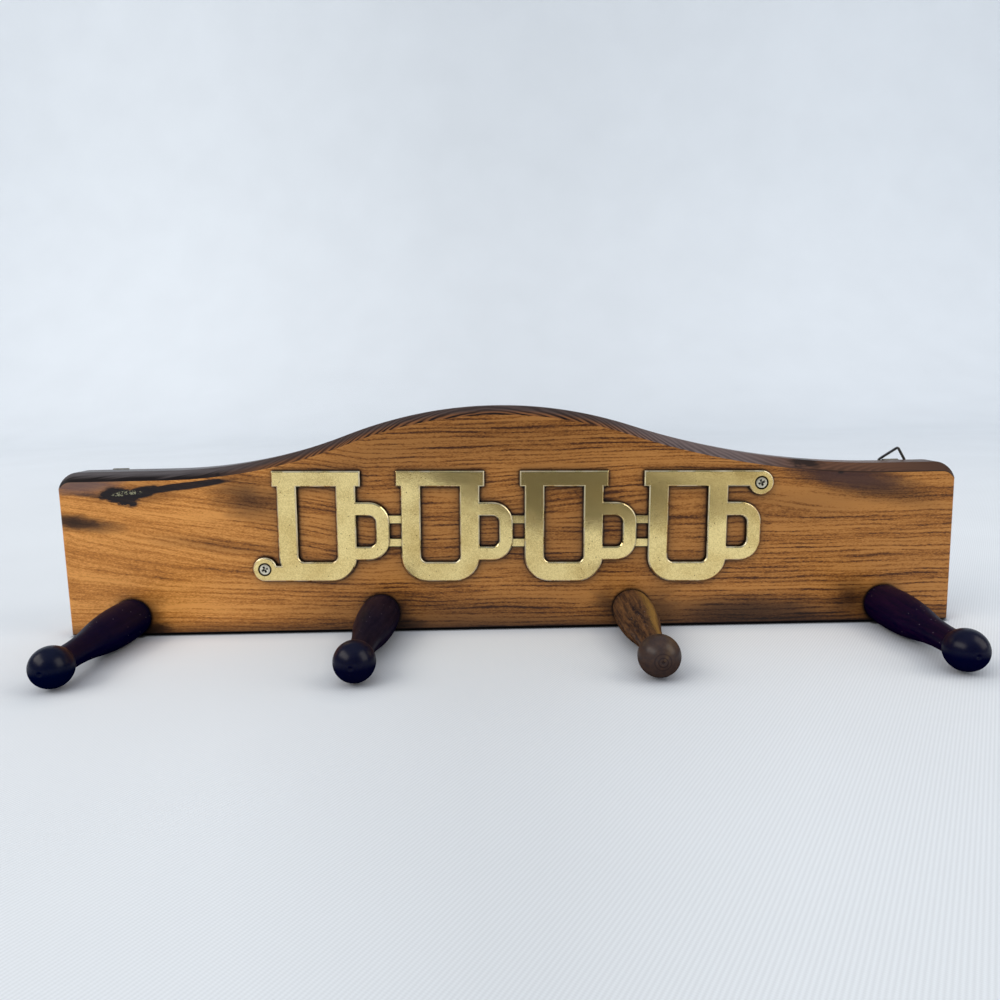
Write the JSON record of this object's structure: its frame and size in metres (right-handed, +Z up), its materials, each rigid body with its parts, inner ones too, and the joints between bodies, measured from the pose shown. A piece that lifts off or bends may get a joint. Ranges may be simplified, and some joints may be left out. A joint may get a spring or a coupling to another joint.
{
  "type": "mug peg rack",
  "caption": "Camelback wooden wall board with turned pegs for mugs along its lower edge, a pierced cast brass plate on its face and wire hanging rings on the back.",
  "frame": {"origin": "middle of the board's bottom edge, at mid thickness", "axes": "+X right as seen from the front, +Y towards the wall, +Z up; the pegs point along -Y"},
  "size_m": [0.457, 0.1062, 0.1159],
  "materials": {
    "board_wood": "satin varnish",
    "cast_brass": "satin, fine cast pits",
    "screw_steel": "satin, plated",
    "peg_1_wood": "satin dark varnish",
    "peg_2_wood": "satin dark varnish",
    "peg_3_wood": "satin brown varnish",
    "peg_4_wood": "satin dark varnish",
    "strap_steel": "dull plated",
    "ring_wire": "dark, worn"
  },
  "bodies": {
    "rack": {"backboard": "board_wood", "brass_plate": "cast_brass", "plate_screw_left": "screw_steel", "plate_screw_right": "screw_steel", "peg_1": "peg_1_wood", "peg_2": "peg_2_wood", "peg_3": "peg_3_wood", "peg_4": "peg_4_wood", "hanger_strap_left": "strap_steel", "hanger_strap_right": "strap_steel", "hanger_screw_left": "screw_steel", "hanger_screw_right": "screw_steel"},
    "left_ring": {"hanger_ring_left": "ring_wire"},
    "right_ring": {"hanger_ring_right": "ring_wire"}
  },
  "joints": [
    {"name": "left_ring_swing", "type": "hinge", "parent": "rack", "child": "left_ring", "pos_m": [-0.205, 0.0111, 0.0843], "axis": [1, 0, 0], "range_deg": [0, 220]},
    {"name": "right_ring_swing", "type": "hinge", "parent": "rack", "child": "right_ring", "pos_m": [0.205, 0.0111, 0.0808], "axis": [-1, 0, 0], "range_deg": [-40, 180]}
  ]
}
